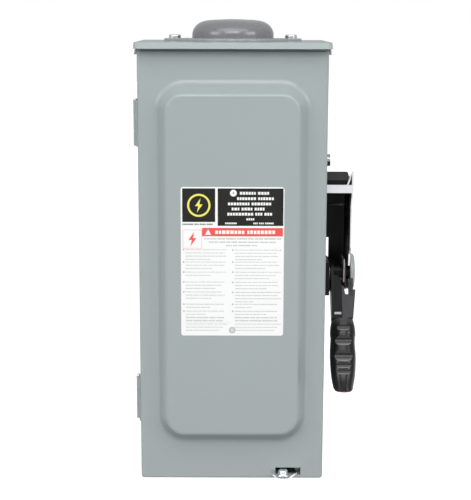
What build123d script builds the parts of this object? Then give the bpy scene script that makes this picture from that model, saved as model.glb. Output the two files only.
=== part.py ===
from build123d import *
from math import cos, radians, sin
import os

# Outdoor three-pole fusible safety switch in a rain-proof sheet-steel enclosure.
# All lengths are in millimetres. X runs across the door, +Y runs into the wall
# and +Z is up. The origin is the centre of the four wall holes, on the back face.

os.makedirs("parts", exist_ok=True)

# ---- Enclosure ----
SHEET = 1.5
BOX_HALF = 78.5
INNER_HALF = BOX_HALF - SHEET
BOX_DEPTH = 120.5
BOX_TOP = 189.0
BOX_BOTTOM = -192.5
TOP_FLANGE_LOW = 178.0
BEND = 3.0
WALL_HOLES_X = 120.0
WALL_HOLES_Z = 344.0
WALL_HOLE_R = 3.5
HUB_Y = -62.0
HUB_HOLE_R = 32.0
CAP_SCREW_X = 51.5
CAP_SCREW_HOLE_R = 3.2
DRAIN_R = 3.0

# ---- Rain hood and closure cap ----
HOOD_TOP = BOX_TOP + SHEET
HOOD_LIP = 185.3
HOOD_HALF = 83.2
HOOD_FRONT = 130.0
LIP_HALF = 83.6
LIP_FRONT = 134.0
SKIRT_FRONT = 110.0
SKIRT_BOTTOM = 180.0
SKIRT_HALF = 84.2
GASKET = 1.0
CAP_FLANGE = 1.5
CAP_TOP = 209.7
CAP_R = 36.1
CAP_WALL = 2.0

# ---- Door ----
DOOR_HALF = 81.0
DOOR_TOP = 183.0
DOOR_BOTTOM = -194.5
DOOR_Y = -124.0
DOOR_FLANGE = 12.0
PANEL_DEPTH = 12.8
PANEL_BASE_HALF = 65.3
PANEL_BASE_TOP = 157.0
PANEL_BASE_BOTTOM = -158.4
PANEL_FOOT_R = 6.0
PANEL_FACE_HALF = 56.6
PANEL_FACE_TOP = 147.6
PANEL_FACE_BOTTOM = -148.9
SLOT_LEFT = 38.8
SLOT_RIGHT = 61.2
SLOT_BOTTOM = -190.8
SLOT_TOP = -184.1
LABEL_HALF = 44.0
LABEL_TOP = 70.0
LABEL_BOTTOM = -59.4
LABEL_THICK = 0.3

# ---- Hinges ----
HINGE_X = -83.0
HINGE_Y = -112.0
HINGE_HEIGHTS = (122.0, -122.0)
HINGE_HALF = 19.5
KNUCKLE_R = 2.2
PIN_R = 1.2
RUNNING = 0.05
DOOR_KNUCKLE = 6.7
BOX_KNUCKLE = 7.0

# ---- Handle shaft, shared by the handle and the crossbar ----
SHAFT_Y = -66.0
SHAFT_Z = -17.0
SHAFT_R = 5.0
BUSH_R = 9.0
HANDLE_REST = 30.0
BLADE_TILT = 65.0

# ---- Interlock release screw ----
RELEASE_Y = -66.0
RELEASE_Z = 85.2
RELEASE_R = 3.0

# ---- Switch poles ----
POLES = (-38.0, 0.0, 38.0)
PAN_FRONT = -9.5
BASE_FRONT = -22.0
BLADE_HALF = 34.0
BLADE_WIDE = 12.0
BLADE_THICK = 2.5
LUG_BORE_R = 4.0
FUSE_Y = -38.0
FUSE_R = 10.3
FUSE_TOP = -68.0
FUSE_LONG = 57.0


def block(x, y, z, mode=Mode.ADD):
    """Box between three pairs of limits, in the active part."""
    centre = tuple(sum(pair) / 2 for pair in (x, y, z))
    size = tuple(max(pair) - min(pair) for pair in (x, y, z))
    with Locations(centre):
        Box(*size, mode=mode)


def rod_x(y, z, radius, x, mode=Mode.ADD):
    """Round bar along X, between two limits."""
    with Locations((sum(x) / 2, y, z)):
        Cylinder(radius, max(x) - min(x), rotation=(0, 90, 0), mode=mode)


def rod_y(x, z, radius, y, mode=Mode.ADD):
    """Round bar along Y, between two limits."""
    with Locations((x, sum(y) / 2, z)):
        Cylinder(radius, max(y) - min(y), rotation=(90, 0, 0), mode=mode)


def rod_z(x, y, radius, z, mode=Mode.ADD):
    """Round bar along Z, between two limits."""
    with Locations((x, y, sum(z) / 2)):
        Cylinder(radius, max(z) - min(z), mode=mode)


def slotted_head_y(x, z, radius, y, slot=1.0, depth=0.9):
    """Screw head that faces the door, with a driver slot across it."""
    rod_y(x, z, radius, y)
    block((x - radius, x + radius), (min(y), min(y) + depth), (z - slot / 2, z + slot / 2), Mode.SUBTRACT)


def mirrored(value):
    """The value on both sides of the centre plane."""
    return (-value, value)


# ================= Fixed enclosure =================

# Back and both sides, folded from one sheet
with BuildPart() as back_box:
    with BuildSketch(Plane.XY.offset(BOX_BOTTOM)):
        with Locations((0, -BOX_DEPTH / 2)):
            Rectangle(2 * BOX_HALF, BOX_DEPTH)
        with Locations((0, -SHEET - BOX_DEPTH / 2)):
            Rectangle(2 * INNER_HALF, BOX_DEPTH, mode=Mode.SUBTRACT)
    extrude(amount=BOX_TOP - BOX_BOTTOM)
    fillet(back_box.edges().filter_by(Axis.Z).group_by(Axis.Y)[-2], BEND - SHEET)
    fillet(back_box.edges().filter_by(Axis.Z).group_by(Axis.Y)[-1], BEND)
    with BuildSketch(Plane.XZ):
        with GridLocations(WALL_HOLES_X, WALL_HOLES_Z, 2, 2):
            Circle(WALL_HOLE_R)
    extrude(amount=SHEET, mode=Mode.SUBTRACT)
    rod_x(SHAFT_Y, SHAFT_Z, BUSH_R, (INNER_HALF, BOX_HALF), Mode.SUBTRACT)
    rod_x(RELEASE_Y, RELEASE_Z, RELEASE_R + RUNNING, (INNER_HALF, BOX_HALF), Mode.SUBTRACT)
back_box.part.label = "back_box"
export_step(back_box.part, "parts/back_box.step")

# Top end wall, with the conduit hub opening and a flange turned down behind the door
with BuildPart() as top_wall:
    block(mirrored(INNER_HALF), (-BOX_DEPTH, -SHEET), (BOX_TOP - SHEET, BOX_TOP))
    fillet(top_wall.edges().filter_by(Axis.Z).group_by(Axis.Y)[-1], BEND)
    block(mirrored(INNER_HALF), (-BOX_DEPTH, SHEET - BOX_DEPTH), (TOP_FLANGE_LOW, BOX_TOP - SHEET))
    rod_z(0, HUB_Y, HUB_HOLE_R, (BOX_TOP - SHEET, BOX_TOP), Mode.SUBTRACT)
    for side in mirrored(CAP_SCREW_X):
        rod_z(side, HUB_Y, CAP_SCREW_HOLE_R, (BOX_TOP - SHEET, BOX_TOP), Mode.SUBTRACT)
top_wall.part.label = "top_wall"
export_step(top_wall.part, "parts/top_wall.step")

# Bottom end wall, with concentric knockouts scored into its underside
KNOCKOUT_CENTRES = ((-40.0, -62.0), (36.0, -62.0), (0.0, -36.0))
KNOCKOUT_RINGS = (11.0, 14.5, 18.0)
with BuildPart() as bottom_wall:
    block(mirrored(INNER_HALF), (-BOX_DEPTH, -SHEET), (BOX_BOTTOM, BOX_BOTTOM + SHEET))
    fillet(bottom_wall.edges().filter_by(Axis.Z).group_by(Axis.Y)[-1], BEND)
    for index, centre in enumerate(KNOCKOUT_CENTRES):
        rings = KNOCKOUT_RINGS[:1] if index == 2 else KNOCKOUT_RINGS
        with BuildSketch(Plane.XY.offset(BOX_BOTTOM)):
            with Locations(centre):
                for ring in rings:
                    Circle(ring + 0.4)
                    Circle(ring - 0.4, mode=Mode.SUBTRACT)
        extrude(amount=0.6, mode=Mode.SUBTRACT)
    for side in mirrored(66.0):
        rod_z(side, -12.0, DRAIN_R, (BOX_BOTTOM, BOX_BOTTOM + SHEET), Mode.SUBTRACT)
bottom_wall.part.label = "bottom_wall"
export_step(bottom_wall.part, "parts/bottom_wall.step")


def hood_level(half, front, radius, z):
    """Rounded hood outline at one height, reaching past the wall line."""
    with BuildSketch(Plane.XY.offset(z)) as level:
        with Locations((0, -front / 2 + 10)):
            RectangleRounded(2 * half, front + 20, radius)
    return level.sketch


# Rain hood: flat top with a flared lip, and lower skirts along the sides
lip_flare = (LIP_HALF - HOOD_HALF) * SHEET / (HOOD_TOP - HOOD_LIP)
hood_outer = loft(
    [
        hood_level(HOOD_HALF, HOOD_FRONT, 4, HOOD_TOP),
        hood_level(LIP_HALF, LIP_FRONT, 5, HOOD_LIP),
    ]
)
hood_inner = loft(
    [
        hood_level(HOOD_HALF - SHEET + lip_flare, HOOD_FRONT - 0.6, 3, BOX_TOP),
        hood_level(LIP_HALF - SHEET, LIP_FRONT - 2.0, 4, HOOD_LIP),
    ]
)
with BuildPart() as rain_hood:
    add(hood_outer)
    add(hood_inner, mode=Mode.SUBTRACT)
    block(mirrored(100), (0, 30), (170, 200), Mode.SUBTRACT)
    with BuildSketch(Plane.XZ):
        with BuildLine():
            Polyline(
                (LIP_HALF - SHEET, HOOD_LIP + 0.2),
                (LIP_HALF - 0.1, HOOD_LIP + 0.2),
                (SKIRT_HALF, SKIRT_BOTTOM),
                (SKIRT_HALF - SHEET, SKIRT_BOTTOM),
                close=True,
            )
        make_face()
        mirror(about=Plane.YZ)
    extrude(amount=SKIRT_FRONT)
    rod_z(0, HUB_Y, HUB_HOLE_R, (BOX_TOP, HOOD_TOP), Mode.SUBTRACT)
    for side in mirrored(CAP_SCREW_X):
        rod_z(side, HUB_Y, CAP_SCREW_HOLE_R, (BOX_TOP, HOOD_TOP), Mode.SUBTRACT)
rain_hood.part.label = "rain_hood"
export_step(rain_hood.part, "parts/rain_hood.step")


def closure_outline(centre_r, ear_r):
    """Oval two-screw flange outline about the hub."""
    with BuildSketch(Plane.XY) as outline:
        with Locations((0, HUB_Y)):
            Circle(centre_r)
        with Locations((-CAP_SCREW_X, HUB_Y), (CAP_SCREW_X, HUB_Y)):
            Circle(ear_r)
        make_hull()
    return outline.sketch


# Gasket under the closure cap
with BuildPart() as closure_gasket:
    extrude(closure_outline(39.2, 7.7), amount=HOOD_TOP + GASKET)
    block(mirrored(100), (-120, 0), (0, HOOD_TOP), Mode.SUBTRACT)
    rod_z(0, HUB_Y, HUB_HOLE_R, (HOOD_TOP, HOOD_TOP + GASKET), Mode.SUBTRACT)
    for side in mirrored(CAP_SCREW_X):
        rod_z(side, HUB_Y, CAP_SCREW_HOLE_R, (HOOD_TOP, HOOD_TOP + GASKET), Mode.SUBTRACT)
closure_gasket.part.label = "closure_gasket"
export_step(closure_gasket.part, "parts/closure_gasket.step")

# Closure cap: pressed dome on an oval flange whose rim turns down round the gasket
FLANGE_LOW = HOOD_TOP + GASKET
FLANGE_HIGH = FLANGE_LOW + CAP_FLANGE
with BuildPart() as closure_cap:
    extrude(closure_outline(41.0, 9.5), amount=FLANGE_HIGH)
    fillet(closure_cap.edges().group_by(Axis.Z)[-1], 1.2)
    extrude(closure_outline(39.5, 8.0), amount=FLANGE_LOW, mode=Mode.SUBTRACT)
    block(mirrored(100), (-120, 0), (0, HOOD_TOP), Mode.SUBTRACT)
    with BuildSketch(Plane((0, HUB_Y, 0), x_dir=(1, 0, 0), z_dir=(0, -1, 0))):
        with BuildLine():
            crown = Spline(
                (0, CAP_TOP),
                (0.40 * CAP_R, CAP_TOP - 0.5),
                (0.71 * CAP_R, CAP_TOP - 1.8),
                (0.86 * CAP_R, CAP_TOP - 4.3),
                (0.95 * CAP_R, CAP_TOP - 7.8),
                (CAP_R, CAP_TOP - 14.2),
                tangents=[(1, 0), (0, -1)],
            )
            Line(crown @ 1, (CAP_R, FLANGE_LOW))
            Line((CAP_R, FLANGE_LOW), (0, FLANGE_LOW))
            Line((0, FLANGE_LOW), (0, CAP_TOP))
        make_face()
    revolve(axis=Axis((0, HUB_Y, 0), (0, 0, 1)))
    with BuildSketch(Plane((0, HUB_Y, 0), x_dir=(1, 0, 0), z_dir=(0, -1, 0))):
        with BuildLine():
            hollow = Spline(
                (0, CAP_TOP - CAP_WALL),
                (0.38 * CAP_R, CAP_TOP - CAP_WALL - 0.5),
                (0.66 * CAP_R, CAP_TOP - CAP_WALL - 1.8),
                (0.81 * CAP_R, CAP_TOP - CAP_WALL - 4.3),
                (0.89 * CAP_R, CAP_TOP - CAP_WALL - 7.4),
                (CAP_R - CAP_WALL, CAP_TOP - CAP_WALL - 13.2),
                tangents=[(1, 0), (0, -1)],
            )
            Line(hollow @ 1, (CAP_R - CAP_WALL, FLANGE_LOW))
            Line((CAP_R - CAP_WALL, FLANGE_LOW), (0, FLANGE_LOW))
            Line((0, FLANGE_LOW), (0, CAP_TOP - CAP_WALL))
        make_face()
    revolve(axis=Axis((0, HUB_Y, 0), (0, 0, 1)), mode=Mode.SUBTRACT)
    for side in mirrored(CAP_SCREW_X):
        rod_z(side, HUB_Y, CAP_SCREW_HOLE_R, (FLANGE_LOW, FLANGE_HIGH), Mode.SUBTRACT)
closure_cap.part.label = "closure_cap"
export_step(closure_cap.part, "parts/closure_cap.step")

# Two slotted screws that hold the closure cap
CAP_HEAD_R = 5.3
CAP_HEAD_HIGH = 3.2
CAP_SLOT = 1.2
with BuildPart() as closure_screws:
    for side in mirrored(CAP_SCREW_X):
        rod_z(side, HUB_Y, CAP_HEAD_R, (FLANGE_HIGH, FLANGE_HIGH + CAP_HEAD_HIGH))
    fillet(closure_screws.edges().filter_by(GeomType.CIRCLE).group_by(Axis.Z)[-1], 1.2)
    for side in mirrored(CAP_SCREW_X):
        rod_z(side, HUB_Y, 2.8, (FLANGE_LOW - 12, FLANGE_HIGH))
        with Locations((side, HUB_Y, FLANGE_HIGH + CAP_HEAD_HIGH)):
            Box(2 * CAP_HEAD_R + 1, CAP_SLOT, 2.6, mode=Mode.SUBTRACT)
closure_screws.part.label = "closure_screws"
export_step(closure_screws.part, "parts/closure_screws.step")

# Fixed hinge leaves: outer knuckles, joggled out from the side wall
with BuildPart() as box_hinge_leaves:
    for height in HINGE_HEIGHTS:
        leaf = (height - HINGE_HALF, height + HINGE_HALF)
        block((HINGE_X + 3.3, HINGE_X + 4.5), (HINGE_Y + 2, HINGE_Y + 22), leaf)
        for low, high in ((BOX_KNUCKLE, HINGE_HALF), (-HINGE_HALF, -BOX_KNUCKLE)):
            span = (height + low, height + high)
            rod_z(HINGE_X, HINGE_Y, KNUCKLE_R, span)
            block((HINGE_X + 0.9, HINGE_X + 2.2), (HINGE_Y, HINGE_Y + 3.2), span)
            block((HINGE_X + 0.9, HINGE_X + 4.5), (HINGE_Y + 2, HINGE_Y + 3.2), span)
        rod_z(HINGE_X, HINGE_Y, PIN_R + RUNNING, leaf, Mode.SUBTRACT)
box_hinge_leaves.part.label = "box_hinge_leaves"
export_step(box_hinge_leaves.part, "parts/box_hinge_leaves.step")

# Hinge pins, headed at the top
with BuildPart() as hinge_pins:
    for height in HINGE_HEIGHTS:
        rod_z(HINGE_X, HINGE_Y, PIN_R, (height - HINGE_HALF - 0.8, height + HINGE_HALF))
        rod_z(HINGE_X, HINGE_Y, 2.0, (height + HINGE_HALF, height + HINGE_HALF + 1.2))
hinge_pins.part.label = "hinge_pins"
export_step(hinge_pins.part, "parts/hinge_pins.step")

# Sprung striker for the door latch, welded to the bottom wall
with BuildPart() as catch_spring:
    block((57, 63), (-113, -111.8), (BOX_BOTTOM + SHEET, -184))
    block((57, 63), (-113, -98), (BOX_BOTTOM + SHEET, BOX_BOTTOM + SHEET + 1.0))
catch_spring.part.label = "catch_spring"
export_step(catch_spring.part, "parts/catch_spring.step")

# ================= Handle bracket on the right side =================

# Painted bracket: wall plate, back web, top web with a front lip, outer cheek and a bearing
# block round the handle shaft
WELL_OUTER = 104.6
WELL_FRONT = -97.0
WELL_BACK = -34.5
WELL_LOW = -9.0
WEB_LOW = -42.0
BEARING_END = 87.5
WELL_TOP = 71.0
BAND_TOP = 67.0
BAND_LOW = 59.8
CHEEK_OUTLINE = (
    (-46, WELL_LOW),
    (-79, WELL_LOW),
    (-80.5, 2),
    (-91, 9),
    (-91, 46),
    (WELL_FRONT, 56),
)
LOCK_HOLES = ((-78.0, 22.0), (-78.0, 38.0))
LOCK_HOLE_R = 4.0
with BuildPart() as handle_bracket:
    block((BOX_HALF, BOX_HALF + SHEET), (WELL_FRONT, WELL_BACK), (-50, WELL_TOP))
    block((BOX_HALF + SHEET, WELL_OUTER), (WELL_BACK - SHEET, WELL_BACK), (WEB_LOW, WELL_TOP))
    block((BOX_HALF + SHEET, 89.7), (WELL_BACK - SHEET, WELL_BACK), (WELL_LOW, 9.5), Mode.SUBTRACT)
    block((BOX_HALF + SHEET, WELL_OUTER), (WELL_FRONT, WELL_BACK - SHEET), (WELL_TOP - SHEET, WELL_TOP))
    chamfer(handle_bracket.edges().filter_by(Axis.Z).group_by(Axis.X)[-1].sort_by(Axis.Y)[0], 1.2)
    block((BOX_HALF + SHEET, 103.4), (WELL_FRONT, WELL_FRONT + SHEET), (BAND_TOP, WELL_TOP))
    with BuildSketch(Plane.YZ.offset(WELL_OUTER - SHEET)):
        with BuildLine():
            Polyline(
                *CHEEK_OUTLINE,
                (WELL_FRONT + 2, WELL_TOP - SHEET),
                (-46, WELL_TOP - SHEET),
                close=True,
            )
        make_face()
        with Locations(*LOCK_HOLES):
            Circle(LOCK_HOLE_R, mode=Mode.SUBTRACT)
    extrude(amount=SHEET)
    block((BOX_HALF + SHEET, BEARING_END), (-84, -48), (-35.5, -5.5))
    rod_x(SHAFT_Y, SHAFT_Z, BUSH_R, (BOX_HALF, BEARING_END), Mode.SUBTRACT)
handle_bracket.part.label = "handle_bracket"
export_step(handle_bracket.part, "parts/handle_bracket.step")

# Plated lock plate over the cheek, with padlock holes, a folded front band and a slanted rib
BAND_BACK = WELL_FRONT - SHEET
with BuildPart() as lock_plate:
    with BuildSketch(Plane.YZ.offset(WELL_OUTER)):
        with BuildLine():
            Polyline(
                *CHEEK_OUTLINE,
                (BAND_BACK, 56),
                (BAND_BACK, 79),
                (-84, 70),
                (-46, 70),
                close=True,
            )
        make_face()
        with Locations(*LOCK_HOLES):
            Circle(LOCK_HOLE_R, mode=Mode.SUBTRACT)
    extrude(amount=SHEET)
    block((BOX_HALF + SHEET, WELL_OUTER), (BAND_BACK, WELL_FRONT), (BAND_LOW, BAND_TOP))
    with BuildSketch(Plane.XZ.offset(-WELL_FRONT)):
        with BuildLine():
            Polyline((103.4, 76.5), (103.4, 71.5), (101.4, 66), (100, 66), close=True)
        make_face()
    extrude(amount=SHEET)
lock_plate.part.label = "lock_plate"
export_step(lock_plate.part, "parts/lock_plate.step")

# Screws through the bracket's wall plate into the side wall
BRACKET_SCREWS = ((-88.0, 52.0), (-44.0, 52.0), (-60.0, -44.0), (-44.0, -44.0))
with BuildPart() as bracket_screws:
    for y, z in BRACKET_SCREWS:
        rod_x(y, z, 4.0, (BOX_HALF + SHEET, BOX_HALF + SHEET + 2.4))
    fillet(bracket_screws.edges().filter_by(GeomType.CIRCLE).group_by(Axis.X)[-1], 1.0)
bracket_screws.part.label = "bracket_screws"
export_step(bracket_screws.part, "parts/bracket_screws.step")

# Flanged bush that carries the handle shaft through the side wall
with BuildPart() as shaft_bush:
    rod_x(SHAFT_Y, SHAFT_Z, 12.0, (INNER_HALF - 1.7, INNER_HALF))
    rod_x(SHAFT_Y, SHAFT_Z, BUSH_R, (INNER_HALF, BEARING_END))
    rod_x(SHAFT_Y, SHAFT_Z, SHAFT_R + RUNNING, (INNER_HALF - 1.7, BEARING_END), Mode.SUBTRACT)
shaft_bush.part.label = "shaft_bush"
export_step(shaft_bush.part, "parts/shaft_bush.step")

# ================= Switch interior, fixed =================

# Steel mounting pan on four pressed feet
PAN_SCREWS = ((-65.0, -148.0), (65.0, -148.0), (-65.0, 54.0), (65.0, 54.0))
with BuildPart() as mounting_pan:
    block(mirrored(71), (PAN_FRONT, PAN_FRONT + SHEET), (-158, 64))
    for x, z in PAN_SCREWS:
        rod_y(x, z, 5.5, (PAN_FRONT + SHEET, -SHEET))
        rod_y(x, z, 2.0, (PAN_FRONT, -3.0), Mode.SUBTRACT)
mounting_pan.part.label = "mounting_pan"
export_step(mounting_pan.part, "parts/mounting_pan.step")

with BuildPart() as pan_screws:
    for x, z in PAN_SCREWS:
        slotted_head_y(x, z, 4.5, (PAN_FRONT - 2.6, PAN_FRONT))
        rod_y(x, z, 2.0, (PAN_FRONT, -3.0))
pan_screws.part.label = "pan_screws"
export_step(pan_screws.part, "parts/pan_screws.step")

# Moulded switch base with barriers between the poles
BARRIERS = (-19.0, 19.0)
BARRIER_HALF = 1.25
BARRIER_FRONT = -50.0
with BuildPart() as switch_base:
    block(mirrored(58), (BASE_FRONT, PAN_FRONT), (-62, 60))
    for x in BARRIERS:
        block((x - BARRIER_HALF, x + BARRIER_HALF), (BARRIER_FRONT, BASE_FRONT), (-62, 60))
switch_base.part.label = "switch_base"
export_step(switch_base.part, "parts/switch_base.step")

# Moulded fuse base below the switch base
with BuildPart() as fuse_base:
    block(mirrored(58), (BASE_FRONT, PAN_FRONT), (-158, -64))
    for x in BARRIERS:
        block((x - BARRIER_HALF, x + BARRIER_HALF), (BARRIER_FRONT, BASE_FRONT), (-158, -64))
fuse_base.part.label = "fuse_base"
export_step(fuse_base.part, "parts/fuse_base.step")

BASE_SCREWS = ((-53.0, 52.0), (53.0, 52.0), (-53.0, -54.0), (53.0, -54.0))
FUSE_BASE_SCREWS = ((-53.0, -72.0), (53.0, -72.0), (-53.0, -150.0), (53.0, -150.0))
with BuildPart() as base_screws:
    for x, z in BASE_SCREWS + FUSE_BASE_SCREWS:
        slotted_head_y(x, z, 3.6, (BASE_FRONT - 2.2, BASE_FRONT))
base_screws.part.label = "base_screws"
export_step(base_screws.part, "parts/base_screws.step")


def jaw_set(up):
    """One pair of jaw leaves per pole with its post and strap; up is +1 or -1."""
    for x in POLES:
        near, tip, far = (SHAFT_Z + up * step for step in (22, 37, 47))
        for side in (-1, 1):
            leaf = sorted((x + side * 1.4, x + side * 2.9))
            block(leaf, (SHAFT_Y - 10, SHAFT_Y + 10), sorted((near, tip)))
        block((x - 2.9, x + 2.9), (SHAFT_Y - 10, BASE_FRONT), sorted((tip, far)))
        end = 56.0 if up > 0 else -80.0
        block((x - 7, x + 7), (BASE_FRONT - 2, BASE_FRONT), sorted((tip, end)))


# Line jaws take the upper blade ends
with BuildPart() as line_jaws:
    jaw_set(1)
line_jaws.part.label = "line_jaws"
export_step(line_jaws.part, "parts/line_jaws.step")

# Load jaws take the lower blade ends and feed the fuses
with BuildPart() as load_jaws:
    jaw_set(-1)
load_jaws.part.label = "load_jaws"
export_step(load_jaws.part, "parts/load_jaws.step")


def lug_row(low, high):
    """One box lug per pole, bored for the wire and for its clamping screw."""
    for x in POLES:
        block((x - 8, x + 8), (-42, BASE_FRONT - 2), (low, high))
        rod_z(x, -31, LUG_BORE_R, (low, high), Mode.SUBTRACT)
        rod_y(x, (low + high) / 2, 3.0, (-42, -31), Mode.SUBTRACT)


def lug_screw_row(z):
    """One slotted clamping screw per lug, backed off above the wire bore."""
    for x in POLES:
        slotted_head_y(x, z, 3.0, (-44.5, -35.2))


with BuildPart() as line_lugs:
    lug_row(38, 54)
line_lugs.part.label = "line_lugs"
export_step(line_lugs.part, "parts/line_lugs.step")

with BuildPart() as line_lug_screws:
    lug_screw_row(46)
line_lug_screws.part.label = "line_lug_screws"
export_step(line_lug_screws.part, "parts/line_lug_screws.step")

with BuildPart() as load_lugs:
    lug_row(-152, -136)
    for x in POLES:
        block((x - 7, x + 7), (BASE_FRONT - 2, BASE_FRONT), (-150, -132))
load_lugs.part.label = "load_lugs"
export_step(load_lugs.part, "parts/load_lugs.step")

with BuildPart() as load_lug_screws:
    lug_screw_row(-144)
load_lug_screws.part.label = "load_lug_screws"
export_step(load_lug_screws.part, "parts/load_lug_screws.step")

# Arc chutes over the line jaws: two cheeks and a roof
with BuildPart() as arc_chutes:
    for x in POLES:
        for side in (-1, 1):
            block(sorted((x + side * 9, x + side * 10.5)), (-76, BASE_FRONT - 2), (5, 31.5))
        block((x - 9, x + 9), (-76, BASE_FRONT - 2), (30, 31.5))
arc_chutes.part.label = "arc_chutes"
export_step(arc_chutes.part, "parts/arc_chutes.step")

# Clear shield in front of the line lugs
with BuildPart() as line_shield:
    block(mirrored(56), (-56, -54.5), (33, 60))
    for side in mirrored(55.25):
        block((side - 0.75, side + 0.75), (-54.5, BASE_FRONT), (33, 46))
    for x in POLES:
        rod_y(x, 46, 4.0, (-56, -54.5), Mode.SUBTRACT)
line_shield.part.label = "line_shield"
export_step(line_shield.part, "parts/line_shield.step")


def clip_row(low, high, strap):
    """One open C-shaped fuse clip per pole, on a stem and a strap."""
    for x in POLES:
        with Locations((x, FUSE_Y, (low + high) / 2)):
            Cylinder(FUSE_R + 1.4, high - low)
        block((x - 5, x + 5), (FUSE_Y + FUSE_R, BASE_FRONT - 2), (low, high))
        rod_z(x, FUSE_Y, FUSE_R + 0.05, (low, high), Mode.SUBTRACT)
        block((x - 7, x + 7), (FUSE_Y - 20, FUSE_Y - 7), (low, high), Mode.SUBTRACT)
        if strap:
            block((x - 7, x + 7), (BASE_FRONT - 2, BASE_FRONT), strap)


CLIP_LONG = 8.0
with BuildPart() as upper_fuse_clips:
    clip_row(FUSE_TOP - 11, FUSE_TOP - 11 + CLIP_LONG, None)
upper_fuse_clips.part.label = "upper_fuse_clips"
export_step(upper_fuse_clips.part, "parts/upper_fuse_clips.step")

FUSE_BOTTOM = FUSE_TOP - FUSE_LONG
with BuildPart() as lower_fuse_clips:
    clip_row(FUSE_BOTTOM + 3, FUSE_BOTTOM + 3 + CLIP_LONG, (-132, -112))
lower_fuse_clips.part.label = "lower_fuse_clips"
export_step(lower_fuse_clips.part, "parts/lower_fuse_clips.step")

# Cartridge fuses: insulating tube between two plated ferrules
FERRULE = 13.0
with BuildPart() as fuse_tubes:
    for x in POLES:
        rod_z(x, FUSE_Y, FUSE_R - 0.4, (FUSE_BOTTOM + FERRULE, FUSE_TOP - FERRULE))
fuse_tubes.part.label = "fuse_tubes"
export_step(fuse_tubes.part, "parts/fuse_tubes.step")

with BuildPart() as fuse_ferrules:
    for x in POLES:
        rod_z(x, FUSE_Y, FUSE_R, (FUSE_TOP - FERRULE, FUSE_TOP))
        rod_z(x, FUSE_Y, FUSE_R, (FUSE_BOTTOM, FUSE_BOTTOM + FERRULE))
    fillet(fuse_ferrules.edges().filter_by(GeomType.CIRCLE).group_by(Axis.Z)[-1], 1.0)
    fillet(fuse_ferrules.edges().filter_by(GeomType.CIRCLE).group_by(Axis.Z)[0], 1.0)
fuse_ferrules.part.label = "fuse_ferrules"
export_step(fuse_ferrules.part, "parts/fuse_ferrules.step")

# Ground lug on the back wall, bored across for the ground wire
with BuildPart() as ground_lug:
    block((-8, 8), (-16, -SHEET), (-184, -168))
    rod_x(-8.5, -176, 3.5, (-8, 8), Mode.SUBTRACT)
    rod_y(0, -176, 2.6, (-16, -8.5), Mode.SUBTRACT)
ground_lug.part.label = "ground_lug"
export_step(ground_lug.part, "parts/ground_lug.step")

with BuildPart() as ground_screw:
    slotted_head_y(0, -176, 2.6, (-18.5, -12.2))
ground_screw.part.label = "ground_screw"
export_step(ground_screw.part, "parts/ground_screw.step")

# Crossbar bearings on the switch base
BEARINGS = ((-54.0, -50.0), (50.0, 54.0))
BAR_R = 6.0
with BuildPart() as crossbar_bearings:
    for low, high in BEARINGS:
        block((low, high), (SHAFT_Y - 12, BASE_FRONT), (SHAFT_Z - 10, SHAFT_Z + 10))
        foot = (low, high + 3) if low < 0 else (low - 3, high)
        block(foot, (BASE_FRONT - 3, BASE_FRONT), (SHAFT_Z - 10, SHAFT_Z + 10))
        rod_x(SHAFT_Y, SHAFT_Z, BAR_R + RUNNING, (low, high), Mode.SUBTRACT)
crossbar_bearings.part.label = "crossbar_bearings"
export_step(crossbar_bearings.part, "parts/crossbar_bearings.step")

# Toggle spring around the handle shaft, drawn as its envelope
with BuildPart() as toggle_spring:
    rod_x(SHAFT_Y, SHAFT_Z, 9.0, (64.2, 75.0))
    rod_x(SHAFT_Y, SHAFT_Z, SHAFT_R + 0.8, (64.2, 75.0), Mode.SUBTRACT)
toggle_spring.part.label = "toggle_spring"
export_step(toggle_spring.part, "parts/toggle_spring.step")

# ================= Crossbar and blades =================

BLADE_DIRECTION = (0, -sin(radians(BLADE_TILT)), cos(radians(BLADE_TILT)))
DISC_R = 14.0
DOG_ORBIT = 9.0
DOG_R = 2.5

DOG_PATH = CenterArc((0, 0), DOG_ORBIT, 149, 32)

with BuildPart() as moving_blades:
    for x in POLES:
        blade_plane = Plane((x, SHAFT_Y, SHAFT_Z), x_dir=BLADE_DIRECTION, z_dir=(1, 0, 0))
        with BuildSketch(blade_plane):
            RectangleRounded(2 * BLADE_HALF, BLADE_WIDE, 3)
        extrude(amount=BLADE_THICK / 2, both=True)
moving_blades.part.label = "moving_blades"
export_step(moving_blades.part, "parts/moving_blades.step")

# Insulating crossbar with its slotted drive disc
with BuildPart() as crossbar:
    rod_x(SHAFT_Y, SHAFT_Z, BAR_R, (-56, 58))
    for x in POLES:
        rod_x(SHAFT_Y, SHAFT_Z, 8.5, (x - 7, x + 7))
    rod_x(SHAFT_Y, SHAFT_Z, DISC_R, (56, 60))
    with BuildSketch(Plane((56, SHAFT_Y, SHAFT_Z), x_dir=(0, 1, 0), z_dir=(1, 0, 0))):
        SlotArc(DOG_PATH, 2 * DOG_R + 0.5)
    extrude(amount=4, mode=Mode.SUBTRACT)
    add(moving_blades.part, mode=Mode.SUBTRACT)
crossbar.part.label = "crossbar"
export_step(crossbar.part, "parts/crossbar.step")

# ================= Handle =================

DOWN_Y = -sin(radians(HANDLE_REST))
DOWN_Z = -cos(radians(HANDLE_REST))


def handle_side(x):
    """Side plane of the handle: local x runs down the lever, local y to its front."""
    return Plane((x, SHAFT_Y, SHAFT_Z), x_dir=(0, DOWN_Y, DOWN_Z), z_dir=(-1, 0, 0))


def handle_front(rise):
    """Front plane of the handle: local x is +X, local y runs up the lever."""
    origin = (0, SHAFT_Y + rise * DOWN_Z, SHAFT_Z - rise * DOWN_Y)
    return Plane(origin, x_dir=(1, 0, 0), z_dir=(0, DOWN_Z, -DOWN_Y))


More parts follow.
